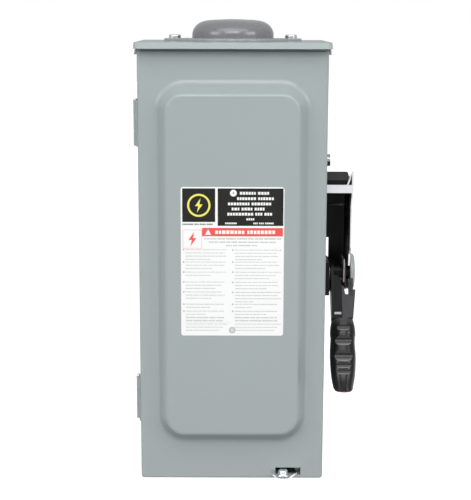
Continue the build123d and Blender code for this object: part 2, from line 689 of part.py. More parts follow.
def handle_cut(along):
    """Cross-section plane of the handle at a distance from the shaft."""
    origin = (0, SHAFT_Y + along * DOWN_Y, SHAFT_Z + along * DOWN_Z)
    return Plane(origin, x_dir=(1, 0, 0), z_dir=(0, DOWN_Y, DOWN_Z))


GRIP_START = 46.5

# Shaft with its crank disc and drive dog
with BuildPart() as handle_shaft:
    rod_x(SHAFT_Y, SHAFT_Z, SHAFT_R, (60.3, 109.6))
    rod_x(SHAFT_Y, SHAFT_Z, 12.0, (60.3, 63.3))
    rod_x(SHAFT_Y - DOG_ORBIT, SHAFT_Z, DOG_R, (56.3, 60.3))
handle_shaft.part.label = "handle_shaft"
export_step(handle_shaft.part, "parts/handle_shaft.step")

# Painted hub disc on the end of the shaft
HUB_R = 17.0
HUB_INNER = 106.6
HUB_OUTER = 110.8
with BuildPart() as handle_hub:
    rod_x(SHAFT_Y, SHAFT_Z, HUB_R, (HUB_INNER, HUB_OUTER))
    fillet(handle_hub.edges().filter_by(GeomType.CIRCLE).group_by(Axis.X)[-1], 3.0)
    rod_x(SHAFT_Y, SHAFT_Z, SHAFT_R, (HUB_INNER, 109.6), Mode.SUBTRACT)
handle_hub.part.label = "handle_hub"
export_step(handle_hub.part, "parts/handle_hub.step")

# Outer arm: neck from the hub's rim, side cheek down to the grip, and a wide front web
ARM_OUTER = 111.2
NECK_OUTER = 108.8
with BuildPart() as outer_arm:
    with BuildSketch(handle_side(NECK_OUTER)):
        with BuildLine():
            Polyline((8, 14), (26, 9), (26, -10), (8, -15), close=True)
        make_face()
        Circle(HUB_R, mode=Mode.SUBTRACT)
    extrude(amount=NECK_OUTER - HUB_INNER)
    with BuildSketch(handle_front(8.9)):
        with BuildLine():
            Polyline(
                (ARM_OUTER, -20),
                (ARM_OUTER - 2.7, -GRIP_START),
                (ARM_OUTER - 5.7, -GRIP_START),
                (ARM_OUTER - 3, -20),
                close=True,
            )
        make_face()
    extrude(amount=-17)
    with BuildSketch(handle_front(8.9)):
        with BuildLine():
            Polyline(
                (98.6, -16),
                (100.4, -17),
                (102, -24.5),
                (104.4, -24.5),
                (105, -21),
                (ARM_OUTER, -20),
                (ARM_OUTER - 2.7, -GRIP_START),
                (98.6, -GRIP_START),
                close=True,
            )
        make_face()
    extrude(amount=-2.4)
outer_arm.part.label = "outer_arm"
export_step(outer_arm.part, "parts/outer_arm.step")

# Inner arm: cheek and front web, with a long boss keyed to the shaft
INNER_ARM_X = 89.4
with BuildPart() as inner_arm:
    with BuildSketch(handle_side(INNER_ARM_X + 2.6)):
        Circle(11)
        with Locations((GRIP_START - 3, 1)):
            Rectangle(6, 13)
        make_hull()
    extrude(amount=2.6)
    with BuildSketch(handle_front(8.5)):
        with BuildLine():
            Polyline(
                (INNER_ARM_X, -6),
                (96, -6),
                (98.2, -12),
                (98.2, -GRIP_START),
                (INNER_ARM_X, -GRIP_START),
                close=True,
            )
        make_face()
    extrude(amount=-2.4)
    rod_x(SHAFT_Y, SHAFT_Z, 8.4, (88.8, 98))
    rod_x(SHAFT_Y, SHAFT_Z, 7.2, (98, 106.4))
    rod_x(SHAFT_Y, SHAFT_Z, SHAFT_R, (88.8, 106.4), Mode.SUBTRACT)
inner_arm.part.label = "inner_arm"
export_step(inner_arm.part, "parts/inner_arm.step")

# Grip: collar and rounded handle with finger grooves across its front, cut level at the foot.
# Sections are (distance from the shaft, centre x, width, depth); grooves are (distance from
# the shaft, height above the lever's axis, radius).
GRIP_FOOT = -111.6
COLLAR_SECTIONS = (
    (GRIP_START, 99.3, 19.2, 17.8),
    (50.5, 99.3, 21.2, 20.0),
    (55.5, 99.3, 22.7, 21.8),
    (62.0, 99.3, 22.7, 22.2),
)
GRIP_SECTIONS = (
    (60.0, 99.0, 21.4, 21.2),
    (68.0, 98.9, 22.2, 21.6),
    (76.0, 98.8, 23.1, 22.0),
    (84.0, 98.8, 23.2, 22.0),
    (91.0, 98.7, 22.5, 21.5),
    (98.0, 98.6, 21.3, 20.6),
    (104.0, 98.5, 19.4, 19.2),
    (110.0, 98.5, 17.0, 17.2),
    (118.0, 98.5, 13.0, 14.0),
)
GRIP_GROOVES = (
    (55.8, 13.6, 3.9),
    (68.0, 14.1, 5.6),
    (82.2, 15.1, 6.6),
    (90.6, 12.3, 3.2),
    (96.4, 11.8, 2.9),
)


def grip_section(along, centre_x, wide, deep):
    """Rounded cross-section of the grip."""
    with BuildSketch(handle_cut(along)) as section:
        with Locations((centre_x, 0)):
            RectangleRounded(wide, deep, 0.48 * min(wide, deep))
    return section.sketch


grip_collar = loft([grip_section(*row) for row in COLLAR_SECTIONS])
grip_body = loft([grip_section(*row) for row in GRIP_SECTIONS])
with BuildPart() as grip:
    add(grip_collar)
    add(grip_body)
    with BuildSketch(handle_side(120)):
        for along, rise, radius in GRIP_GROOVES:
            with Locations((along, rise)):
                Circle(radius)
    extrude(amount=45, mode=Mode.SUBTRACT)
    block((80, 120), (-160, -90), (GRIP_FOOT - 40, GRIP_FOOT), Mode.SUBTRACT)
grip.part.label = "grip"
export_step(grip.part, "parts/grip.step")

# Red end insert under the grip's foot
FOOT_Y = SHAFT_Y + (SHAFT_Z - GRIP_FOOT) * DOWN_Y / -DOWN_Z
with BuildPart() as grip_end_insert:
    with BuildSketch(Plane.XY.offset(GRIP_FOOT)):
        with Locations((98.5, FOOT_Y)):
            RectangleRounded(15.6, 17.6, 7.4)
    extrude(amount=-1.1)
grip_end_insert.part.label = "grip_end_insert"
export_step(grip_end_insert.part, "parts/grip_end_insert.step")

# Plated retaining ring on the shaft, between the bush and the inner arm
with BuildPart() as shaft_ring:
    rod_x(SHAFT_Y, SHAFT_Z, 7.5, (BEARING_END + 0.1, BEARING_END + 1.1))
    rod_x(SHAFT_Y, SHAFT_Z, SHAFT_R, (BEARING_END + 0.1, BEARING_END + 1.1), Mode.SUBTRACT)
shaft_ring.part.label = "shaft_ring"
export_step(shaft_ring.part, "parts/shaft_ring.step")

# ================= Door =================


def panel_outline(half, low, high, radius, y):
    """Rounded rectangle on a plane that faces the door."""
    with BuildSketch(Plane.XZ.offset(-y)) as outline:
        with Locations((0, (low + high) / 2)):
            RectangleRounded(2 * half, high - low, radius)
    return outline.sketch


def raised_panel(inset, shift):
    """Tapered panel block; inset and shift give the inner face of the sheet."""
    base = panel_outline(
        PANEL_BASE_HALF - inset,
        PANEL_BASE_BOTTOM + inset,
        PANEL_BASE_TOP - inset,
        25 - inset,
        DOOR_Y + shift,
    )
    face = panel_outline(
        PANEL_FACE_HALF - inset,
        PANEL_FACE_BOTTOM + inset,
        PANEL_FACE_TOP - inset,
        15 - inset,
        DOOR_Y - PANEL_DEPTH + shift,
    )
    return loft([base, face])


def panel_foot(part):
    """Edges where the raised panel meets the door's face."""
    reach = PANEL_BASE_HALF + 3
    return ShapeList(
        edge
        for edge in part.edges()
        if abs(edge.center().Y - DOOR_Y) < 0.01
        and abs(edge.center().X) < reach
        and PANEL_BASE_BOTTOM - 3 < edge.center().Z < PANEL_BASE_TOP + 3
    )


panel_outside = raised_panel(0, 0)
panel_inside = raised_panel(0.76, SHEET)
with BuildPart() as door_panel:
    block(mirrored(DOOR_HALF), (DOOR_Y, DOOR_Y + DOOR_FLANGE), (DOOR_BOTTOM, DOOR_TOP))
    fillet(door_panel.edges().filter_by(Axis.Y).group_by(Axis.Z)[0], 3)
    door_rim = door_panel.faces().sort_by(Axis.Y)[0].edges()
    fillet(door_rim.sort_by(Axis.Z)[:-1], 2.4)
    add(panel_outside)
    fillet(door_panel.faces().sort_by(Axis.Y)[0].edges(), 3.5)
    fillet(panel_foot(door_panel), PANEL_FOOT_R)
    block(
        mirrored(DOOR_HALF - SHEET),
        (DOOR_Y + SHEET, DOOR_Y + DOOR_FLANGE),
        (DOOR_BOTTOM + SHEET, DOOR_TOP),
        Mode.SUBTRACT,
    )
    add(panel_inside, mode=Mode.SUBTRACT)
    block((SLOT_LEFT, SLOT_RIGHT), (DOOR_Y, DOOR_Y + SHEET), (SLOT_BOTTOM, SLOT_TOP), Mode.SUBTRACT)
    for height in HINGE_HEIGHTS:
        notch = (height - HINGE_HALF - 1, height + HINGE_HALF + 1)
        block((-DOOR_HALF, -DOOR_HALF + SHEET), (HINGE_Y - 4, HINGE_Y), notch, Mode.SUBTRACT)
door_panel.part.label = "door_panel"
export_step(door_panel.part, "parts/door_panel.step")

# Moving hinge leaves: middle knuckle on a leaf along the door's flange
with BuildPart() as door_hinge_leaves:
    for height in HINGE_HEIGHTS:
        leaf = (height - HINGE_HALF, height + HINGE_HALF)
        knuckle = (height - DOOR_KNUCKLE, height + DOOR_KNUCKLE)
        rod_z(HINGE_X, HINGE_Y, KNUCKLE_R, knuckle)
        block((HINGE_X + 1, HINGE_X + 2), (HINGE_Y - 10, HINGE_Y - 2.7), leaf)
        block((HINGE_X + 1, HINGE_X + 2), (HINGE_Y - 3, HINGE_Y), knuckle)
        rod_z(HINGE_X, HINGE_Y, PIN_R + RUNNING, knuckle, Mode.SUBTRACT)
door_hinge_leaves.part.label = "door_hinge_leaves"
export_step(door_hinge_leaves.part, "parts/door_hinge_leaves.step")

# Printed label on the raised panel
LABEL_Y = DOOR_Y - PANEL_DEPTH
with BuildPart() as door_label:
    extrude(panel_outline(LABEL_HALF, LABEL_BOTTOM, LABEL_TOP, 2, LABEL_Y), amount=LABEL_THICK)
door_label.part.label = "door_label"
export_step(door_label.part, "parts/door_label.step")

# Strap inside the door that the interlock hook catches
with BuildPart() as interlock_strap:
    block((68.5, 76), (DOOR_Y + SHEET, DOOR_Y + 2 * SHEET), (26, 46))
    block((68.5, 70), (DOOR_Y + 2 * SHEET, -102), (26, 46))
    block((70, 75.5), (-103.5, -102), (26, 46))
interlock_strap.part.label = "interlock_strap"
export_step(interlock_strap.part, "parts/interlock_strap.step")

# Shelf that carries the latch through the slot in the door
LATCH_X = 45.7
LATCH_Y = -126.0
LATCH_LOW = -189.1
LATCH_HIGH = -187.3
with BuildPart() as latch_shelf:
    block((39.5, 55), (-131, -115), (-190.5, LATCH_LOW))
    block((39.5, 55), (DOOR_Y + SHEET, DOOR_Y + SHEET + 1.2), (DOOR_BOTTOM + SHEET, -190.5))
    rod_z(LATCH_X, LATCH_Y, 2.5, (-190.5, LATCH_LOW), Mode.SUBTRACT)
latch_shelf.part.label = "latch_shelf"
export_step(latch_shelf.part, "parts/latch_shelf.step")

# Domed rivet that the latch turns on
with BuildPart() as latch_rivet:
    rod_z(LATCH_X, LATCH_Y, 4.5, (LATCH_HIGH, LATCH_HIGH + 2.4))
    fillet(latch_rivet.edges().filter_by(GeomType.CIRCLE).group_by(Axis.Z)[-1], 2.0)
    rod_z(LATCH_X, LATCH_Y, 2.5, (-190.5, LATCH_HIGH))
latch_rivet.part.label = "latch_rivet"
export_step(latch_rivet.part, "parts/latch_rivet.step")

# ================= Latch lever =================

PADLOCK_X = 45.3
PADLOCK_Y = -136.6
PADLOCK_R = 4.0
with BuildPart() as latch_lever:
    with BuildSketch(Plane.XY.offset(LATCH_LOW)):
        with BuildLine():
            Polyline(
                (34.6, -127.0),
                (41.5, -124.8),
                (41.5, -121.0),
                (50.0, -115.0),
                (50.0, -106.0),
                (61.0, -106.0),
                (61.0, -110.8),
                (55.8, -110.8),
                (55.8, -120.0),
                (58.0, -127.0),
                (50.5, -139.0),
                (45.3, -143.0),
                (40.1, -139.0),
                close=True,
            )
        make_face()
        with Locations((PADLOCK_X, PADLOCK_Y)):
            Circle(6.6)
            Circle(PADLOCK_R, mode=Mode.SUBTRACT)
        with Locations((LATCH_X, LATCH_Y)):
            Circle(2.5 + RUNNING, mode=Mode.SUBTRACT)
    extrude(amount=LATCH_HIGH - LATCH_LOW)
latch_lever.part.label = "latch_lever"
export_step(latch_lever.part, "parts/latch_lever.step")

# ================= Interlock =================

LOCK_PIVOT_Y = -60.0
LOCK_PIVOT_Z = 42.0
LOCK_LIFT = 24.0
LOCK_NOSE = (0, -cos(radians(LOCK_LIFT)), sin(radians(LOCK_LIFT)))
with BuildPart() as interlock_pin:
    rod_x(LOCK_PIVOT_Y, LOCK_PIVOT_Z, 3.0, (73.5, INNER_HALF))
    rod_x(LOCK_PIVOT_Y, LOCK_PIVOT_Z, 5.0, (72.5, 73.6))
interlock_pin.part.label = "interlock_pin"
export_step(interlock_pin.part, "parts/interlock_pin.step")

# Hook lever: local x runs to the nose and local y runs down
with BuildPart() as interlock_lever:
    with BuildSketch(Plane((74.7, LOCK_PIVOT_Y, LOCK_PIVOT_Z), x_dir=LOCK_NOSE, z_dir=(1, 0, 0))):
        Circle(7)
        with Locations((19, -1)):
            Rectangle(41, 6)
        with Locations((0, 18)):
            Rectangle(6, 36)
        Circle(3.0 + RUNNING, mode=Mode.SUBTRACT)
    extrude(amount=1.5)
    with BuildSketch(Plane((71, LOCK_PIVOT_Y, LOCK_PIVOT_Z), x_dir=LOCK_NOSE, z_dir=(1, 0, 0))):
        with Locations((38, 3)):
            Rectangle(3, 10)
    extrude(amount=5.2)
interlock_lever.part.label = "interlock_lever"
export_step(interlock_lever.part, "parts/interlock_lever.step")

# Slotted screw that releases the interlock from outside
with BuildPart() as release_screw:
    rod_x(RELEASE_Y, RELEASE_Z, RELEASE_R, (72, 82.6))
    rod_x(RELEASE_Y, RELEASE_Z, 5.3, (82.6, 87.6))
    block((84, 88), (RELEASE_Y - 6, RELEASE_Y + 6), (RELEASE_Z + 0.5, RELEASE_Z + 2.1), Mode.SUBTRACT)
    block((72, 74), (RELEASE_Y - 2, RELEASE_Y + 10), (RELEASE_Z - 2.5, RELEASE_Z + 2.5))
release_screw.part.label = "release_screw"
export_step(release_screw.part, "parts/release_screw.step")
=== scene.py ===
import math
import random

import bmesh
import bpy
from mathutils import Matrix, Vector


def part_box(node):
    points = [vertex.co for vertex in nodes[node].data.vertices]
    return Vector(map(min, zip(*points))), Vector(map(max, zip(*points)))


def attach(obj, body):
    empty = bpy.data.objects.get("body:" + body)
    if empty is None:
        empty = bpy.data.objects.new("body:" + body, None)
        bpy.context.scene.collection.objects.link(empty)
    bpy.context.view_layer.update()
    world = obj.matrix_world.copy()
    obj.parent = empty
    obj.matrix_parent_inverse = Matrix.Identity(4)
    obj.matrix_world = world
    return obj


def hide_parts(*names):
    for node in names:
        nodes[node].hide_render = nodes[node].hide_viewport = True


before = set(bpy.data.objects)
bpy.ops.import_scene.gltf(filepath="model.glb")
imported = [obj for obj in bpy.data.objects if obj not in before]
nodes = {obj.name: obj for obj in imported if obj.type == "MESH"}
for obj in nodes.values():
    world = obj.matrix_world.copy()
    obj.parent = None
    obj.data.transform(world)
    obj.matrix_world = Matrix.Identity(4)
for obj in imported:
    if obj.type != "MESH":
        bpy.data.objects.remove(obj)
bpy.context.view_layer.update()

# Rain-proof safety switch. Lengths in the tables below are millimetres, like the CAD source;
# MM turns them into the scene's metres.
MM = 0.001


# ---------------------------------------------------------------- materials

def linked(tree, kind, **inputs):
    """New shader node; inputs are plain values or sockets, by name or by index as i0, i1."""
    node = tree.nodes.new(kind)
    for key, value in inputs.items():
        numbered = key[0] == "i" and key[1:].isdigit()
        socket = node.inputs[int(key[1:]) if numbered else key]
        if isinstance(value, bpy.types.NodeSocket):
            tree.links.new(value, socket)
        else:
            socket.default_value = value
    return node


def noise(tree, coordinates, scale, detail=3.0, rough=0.55, distortion=0.0):
    """Factor output of a noise texture."""
    node = linked(tree, "ShaderNodeTexNoise", Vector=coordinates, Scale=scale, Detail=detail,
                  Roughness=rough, Distortion=distortion)
    return node.outputs["Fac"]


def ranged(tree, value, low, high, start=0.32, end=0.68):
    """The value's middle spread over low to high."""
    node = linked(tree, "ShaderNodeMapRange", Value=value)
    node.inputs["From Min"].default_value = start
    node.inputs["From Max"].default_value = end
    node.inputs["To Min"].default_value = low
    node.inputs["To Max"].default_value = high
    return node.outputs["Result"]


def mixed(tree, factor, first, second):
    """Colour mix of two colours or colour sockets."""
    node = tree.nodes.new("ShaderNodeMix")
    node.data_type = "RGBA"
    for index, value in ((0, factor), (6, first), (7, second)):
        if isinstance(value, bpy.types.NodeSocket):
            tree.links.new(value, node.inputs[index])
        elif index == 0:
            node.inputs[index].default_value = value
        else:
            node.inputs[index].default_value = (*value, 1.0)
    return node.outputs[2]


def tinted(colour, share):
    """The colour made lighter or darker by a share."""
    return tuple(min(1.0, channel * (1 + share)) for channel in colour)


def surface(name, colour, rough, variation=0.05, patch=22.0, rough_spread=0.05, grain=700.0,
            bump=0.12, depth=0.00004, stretch=(1.0, 1.0, 1.0), metallic=0.0, specular=0.5,
            coat=0.0, coat_rough=0.1, specks=None, edge=0.0004):
    """Procedural finish: drifting tint, uneven roughness, fine relief and softened edges."""
    material = bpy.data.materials.new(name)
    material.use_nodes = True
    tree = material.node_tree
    shader = tree.nodes["Principled BSDF"]
    place = tree.nodes.new("ShaderNodeTexCoord").outputs["Object"]
    grained = linked(tree, "ShaderNodeMapping", Vector=place, Scale=stretch).outputs["Vector"]
    patches = noise(tree, place, patch, 4.0, 0.6, 0.4)
    fine = noise(tree, grained, grain, 3.0, 0.6)
    tint = mixed(tree, ranged(tree, patches, 0.0, 1.0), tinted(colour, -variation),
                 tinted(colour, variation))
    tint = mixed(tree, ranged(tree, fine, 0.0, 0.35), tint, tinted(colour, 2.2 * variation))
    if specks:
        speck_colour, speck_scale, speck_share = specks
        cells = linked(tree, "ShaderNodeTexVoronoi", Vector=grained, Scale=speck_scale)
        dots = ranged(tree, cells.outputs["Distance"], speck_share, 0.0, 0.05, 0.22)
        tint = mixed(tree, dots, tint, speck_colour)
    tree.links.new(tint, shader.inputs["Base Color"])
    uneven = noise(tree, grained, grain * 0.21, 5.0, 0.65)
    tree.links.new(ranged(tree, uneven, rough - rough_spread, rough + rough_spread),
                   shader.inputs["Roughness"])
    relief = linked(tree, "ShaderNodeBump", Strength=bump, Distance=depth, Height=fine)
    if edge:
        corner = tree.nodes.new("ShaderNodeBevel")
        corner.samples = 4
        corner.inputs["Radius"].default_value = edge
        tree.links.new(corner.outputs["Normal"], relief.inputs["Normal"])
    tree.links.new(relief.outputs["Normal"], shader.inputs["Normal"])
    shader.inputs["Metallic"].default_value = metallic
    shader.inputs["Specular IOR Level"].default_value = specular
    shader.inputs["Coat Weight"].default_value = coat
    shader.inputs["Coat Roughness"].default_value = coat_rough
    return material


def height_share(tree, low, high, at_low, at_high):
    """Value that runs from at_low to at_high between two heights in millimetres."""
    place = tree.nodes.new("ShaderNodeTexCoord").outputs["Object"]
    height = linked(tree, "ShaderNodeSeparateXYZ", Vector=place).outputs["Z"]
    return ranged(tree, height, at_low, at_high, low * MM, high * MM)


def facing_share(tree, direction, start, end):
    """Value that is 1 where the surface faces a direction of its own body."""
    facing = tree.nodes.new("ShaderNodeTexCoord").outputs["Normal"]
    share = linked(tree, "ShaderNodeVectorMath", i0=facing, i1=direction)
    share.operation = "DOT_PRODUCT"
    return ranged(tree, share.outputs["Value"], 0.0, 1.0, start, end)


def lay_over(material, mask, colour):
    """Lay a colour over the finish where the mask is 1."""
    tree = material.node_tree
    base = tree.nodes["Principled BSDF"].inputs["Base Color"]
    tree.links.new(mixed(tree, mask, base.links[0].from_socket, colour), base)


enamel = surface("enclosure_enamel", (0.340, 0.388, 0.388), 0.24, variation=0.010, patch=9.0,
                 rough_spread=0.02, grain=520.0, bump=0.08, depth=0.00003, specular=0.55)
cap_enamel = surface("cap_enamel", (0.165, 0.168, 0.176), 0.26, variation=0.05, patch=30.0,
                     grain=420.0, bump=0.10, depth=0.00005, coat=0.7, coat_rough=0.16)
rubber = surface("gasket_rubber", (0.03, 0.03, 0.03), 0.75, variation=0.2, grain=1500.0,
                 bump=0.3, specular=0.3)
zinc = surface("zinc_plating", (0.74, 0.75, 0.77), 0.27, variation=0.06, patch=60.0,
               rough_spread=0.09, grain=260.0, bump=0.18, stretch=(1.0, 1.0, 7.0), metallic=1.0)
zinc_bright = surface("zinc_bright", (0.68, 0.68, 0.70), 0.36, variation=0.05, patch=50.0,
                      rough_spread=0.08, grain=300.0, bump=0.12, stretch=(6.0, 1.0, 1.0),
                      metallic=0.8)
pan_zinc = surface("pan_zinc", (0.60, 0.61, 0.62), 0.38, variation=0.10, patch=35.0,
                   rough_spread=0.08, grain=140.0, bump=0.15, stretch=(1.0, 1.0, 0.2),
                   metallic=1.0, specks=((0.74, 0.75, 0.76), 90.0, 0.35))
spring_steel = surface("spring_steel", (0.42, 0.42, 0.43), 0.30, variation=0.12, patch=70.0,
                       grain=380.0, bump=0.2, stretch=(5.0, 1.0, 1.0), metallic=1.0)
black_enamel = surface("bracket_enamel", (0.0042, 0.0042, 0.0043), 0.34, variation=0.18,
                       patch=30.0, grain=480.0, bump=0.16, depth=0.00005, specular=0.12)
arm_enamel = surface("arm_enamel", (0.034, 0.034, 0.037), 0.50, variation=0.16, patch=60.0,
                     grain=430.0, bump=0.2, depth=0.00006, specular=0.35)
# Painted light: a lighter copy of the bracket's black enamel, for the lit turned-up lip of the
# bracket
lip_enamel_painted_light = surface("lip_enamel_painted_light", (0.019, 0.019, 0.0195), 0.42, variation=0.16, patch=60.0,
                     grain=430.0, bump=0.2, depth=0.00006, specular=0.35)
bronze = surface("bush_bronze", (0.58, 0.40, 0.20), 0.34, variation=0.12, patch=90.0,
                 grain=600.0, bump=0.2, stretch=(9.0, 1.0, 1.0), metallic=1.0)
thermoset = surface("switch_thermoset", (0.026, 0.026, 0.028), 0.50, variation=0.22, patch=40.0,
                    grain=650.0, bump=0.25, depth=0.00005,
                    specks=((0.06, 0.058, 0.055), 800.0, 0.30))
chute_fibre = surface("chute_fibre", (0.085, 0.045, 0.032), 0.62, variation=0.20, patch=45.0,
                      grain=300.0, bump=0.35, depth=0.00008, stretch=(1.0, 1.0, 4.0))
grip_plastic = surface("grip_plastic", (0.005, 0.005, 0.0052), 0.22, variation=0.16, patch=70.0,
                       rough_spread=0.05, grain=900.0, bump=0.22, depth=0.00004, specular=0.40)
red_plastic = surface("red_plastic", (0.28, 0.034, 0.026), 0.32, variation=0.10, patch=80.0,
                      grain=700.0, bump=0.15)
dark_red = surface("dark_red_plastic", (0.050, 0.012, 0.012), 0.40, variation=0.2, patch=80.0,
                   grain=700.0, bump=0.15)
cam_steel = surface("cam_steel", (0.42, 0.42, 0.42), 0.45, variation=0.12, patch=70.0,
                    grain=300.0, bump=0.2, stretch=(1.0, 1.0, 0.2), metallic=0.4)
tinned = surface("tinned_copper", (0.76, 0.70, 0.62), 0.26, variation=0.08, patch=80.0,
                 rough_spread=0.07, grain=330.0, bump=0.15, stretch=(1.0, 5.0, 1.0), metallic=1.0)
aluminium = surface("lug_aluminium", (0.77, 0.78, 0.79), 0.34, variation=0.06, patch=70.0,
                    rough_spread=0.07, grain=260.0, bump=0.25, stretch=(1.0, 1.0, 6.0),
                    metallic=1.0)
ground_green = surface("ground_green", (0.05, 0.30, 0.10), 0.30, variation=0.12, patch=90.0,
                       grain=500.0, bump=0.15, metallic=0.6)
fuse_paper = surface("fuse_paper", (0.62, 0.47, 0.27), 0.55, variation=0.10, patch=55.0,
                     grain=420.0, bump=0.3, depth=0.00005, stretch=(1.0, 1.0, 0.2))
vinyl = surface("label_vinyl", (0.94, 0.95, 0.945), 0.46, variation=0.012, patch=18.0,
                grain=1400.0, bump=0.05, specular=0.4, edge=0.0)
ink_black = surface("ink_black", (0.016, 0.0155, 0.015), 0.55, variation=0.15, patch=60.0,
                    grain=1300.0, bump=0.05, specular=0.15, edge=0.0)
ink_grey = surface("ink_grey", (0.53, 0.535, 0.53), 0.50, variation=0.10, patch=60.0,
                   grain=1300.0, bump=0.05, edge=0.0)
ink_dark = surface("ink_dark", (0.15, 0.15, 0.15), 0.50, variation=0.10, patch=60.0,
                   grain=1300.0, bump=0.05, edge=0.0)
ink_red = surface("ink_red", (0.80, 0.085, 0.070), 0.46, variation=0.04, patch=60.0,
                  grain=1300.0, bump=0.05, edge=0.0)
ink_yellow = surface("ink_yellow", (0.83, 0.78, 0.14), 0.46, variation=0.04, patch=60.0,
                     grain=1300.0, bump=0.05, edge=0.0)
ink_white = surface("ink_white", (0.90, 0.90, 0.89), 0.46, variation=0.03, patch=60.0,
                    grain=1300.0, bump=0.05, edge=0.0)

# Painted highlight: the closure plate's flange band is painted lighter than its crown, standing in
# for light on its edge
FLANGE_HIGHLIGHT_BAND = (193.0, 193.8)
flange_highlight_mask = height_share(cap_enamel.node_tree, *FLANGE_HIGHLIGHT_BAND, 1.0, 0.0)
lay_over(cap_enamel, flange_highlight_mask, (0.27, 0.285, 0.29))

# Painted highlight: faces of the grip's ribs that face up the lever are painted lighter, standing
# in for reflections of the lamps above
UP_LEVER = (0.0, 0.5, 0.866)
rib_highlight_mask = facing_share(grip_plastic.node_tree, UP_LEVER, 0.16, 0.62)
lay_over(grip_plastic, rib_highlight_mask, (0.24, 0.24, 0.247))

clear_plastic = surface("clear_shield", (0.92, 0.95, 0.96), 0.10, variation=0.01, patch=20.0,
                        rough_spread=0.04, grain=120.0, bump=0.08, edge=0.0)
clear_shader = clear_plastic.node_tree.nodes["Principled BSDF"]
clear_shader.inputs["Transmission Weight"].default_value = 0.93
clear_shader.inputs["IOR"].default_value = 1.58

FINISHES = {
    enamel: ("back_box", "top_wall", "bottom_wall", "rain_hood", "door_panel",
             "box_hinge_leaves", "door_hinge_leaves", "handle_hub", "latch_shelf"),
    cap_enamel: ("closure_cap",),
    rubber: ("closure_gasket",),
    zinc: ("closure_screws", "bracket_screws", "hinge_pins", "pan_screws", "base_screws",
           "latch_lever", "latch_rivet", "shaft_ring", "interlock_pin",
           "interlock_strap", "interlock_lever"),
    zinc_bright: ("lock_plate",),
    pan_zinc: ("mounting_pan",),
    spring_steel: ("catch_spring", "toggle_spring", "handle_shaft", "release_screw"),
    black_enamel: ("handle_bracket", "inner_arm"),
    arm_enamel: ("outer_arm",),
    bronze: ("shaft_bush",),
    thermoset: ("switch_base", "fuse_base", "crossbar", "crossbar_bearings"),
    chute_fibre: ("arc_chutes",),
    grip_plastic: ("grip",),
    red_plastic: ("grip_end_insert",),
    tinned: ("line_jaws", "load_jaws", "moving_blades", "upper_fuse_clips", "lower_fuse_clips",
             "fuse_ferrules"),
    aluminium: ("line_lugs", "load_lugs", "ground_lug", "line_lug_screws", "load_lug_screws"),
    ground_green: ("ground_screw",),
    clear_plastic: ("line_shield",),
    fuse_paper: ("fuse_tubes",),
    vinyl: ("door_label",),
}
for finish, names in FINISHES.items():
    for node_name in names:
        slots = nodes[node_name].data.materials
        slots.clear()
        slots.append(finish)


# ---------------------------------------------------------------- mesh helpers

BOX_FACES = ((0, 1, 3, 2), (4, 6, 7, 5), (0, 4, 5, 1), (2, 3, 7, 6), (0, 2, 6, 4), (1, 5, 7, 3))


def circle(sides):
    """Angles of a full turn."""
    return [2 * math.pi * k / sides for k in range(sides)]


def add_box(bm, points):
    """Closed box through eight points in millimetres, listed with the last limit changing first."""
    corners = [bm.verts.new(Vector(point) * MM) for point in points]
    for face in BOX_FACES:
        bm.faces.new([corners[i] for i in face])


def add_slab(bm, x, y, z):
    """Closed box between three pairs of limits, in millimetres."""
    add_box(bm, [(a, b, c) for a in sorted(x) for b in sorted(y) for c in sorted(z)])


def join_loops(bm, loops):
    """Bands of faces between each loop of vertices and the next."""
    for first, second in zip(loops, loops[1:]):
        for i in range(len(first)):
            j = (i + 1) % len(first)
            bm.faces.new((first[i], first[j], second[j], second[i]))


def close_loops(bm, loops):
    """Bands between the loops and a face over each end."""
    join_loops(bm, loops)
    bm.faces.new(list(reversed(loops[0])))
    bm.faces.new(loops[-1])


def add_prism(bm, outline, y):
    """Closed plate of an (x, z) outline between two y limits, in millimetres."""
    front = [bm.verts.new((u * MM, min(y) * MM, w * MM)) for u, w in outline]
    back = [bm.verts.new((u * MM, max(y) * MM, w * MM)) for u, w in outline]
    count = len(outline)
    bm.faces.new(front)
    bm.faces.new(list(reversed(back)))
    for i in range(count):
        bm.faces.new((front[i], back[i], back[(i + 1) % count], front[(i + 1) % count]))


def add_ring(bm, centre, inner, outer, y, sides=40):
    """Closed flat ring round an (x, z) centre between two y limits, in millimetres."""
    loops = []
    for radius, depth in ((outer, min(y)), (outer, max(y)), (inner, max(y)), (inner, min(y))):
        loops.append([
            bm.verts.new(((centre[0] + radius * math.cos(t)) * MM, depth * MM,
                          (centre[1] + radius * math.sin(t)) * MM))
            for t in circle(sides)
        ])
    join_loops(bm, loops + loops[:1])


def add_tube(bm, path, radius, sides=10):
    """Closed round tube along a list of points, in millimetres."""
    points = [Vector(p) * MM for p in path]
    rings = []
    side = None
    for i, point in enumerate(points):
        ahead = (points[min(i + 1, len(points) - 1)] - points[max(i - 1, 0)]).normalized()
        if side is None:
            side = ahead.orthogonal().normalized()
        side = (side - ahead * side.dot(ahead)).normalized()
        across = ahead.cross(side)
        rings.append([
            bm.verts.new(point + radius * MM * (math.cos(t) * side + math.sin(t) * across))
            for t in circle(sides)
        ])
    close_loops(bm, rings)


def add_lathe(bm, centre, axis, profile, sides=32):
    """Closed turned shape; profile pairs are (distance along the axis, radius), in millimetres."""
    axis = Vector(axis).normalized()
    side = axis.orthogonal().normalized()
    across = axis.cross(side)
    centre = Vector(centre)
    rings = []
    for along, radius in profile:
        middle = centre + axis * along
        rings.append([
            bm.verts.new((middle + radius * (math.cos(t) * side + math.sin(t) * across)) * MM)
            for t in circle(sides)
        ])
    close_loops(bm, rings)


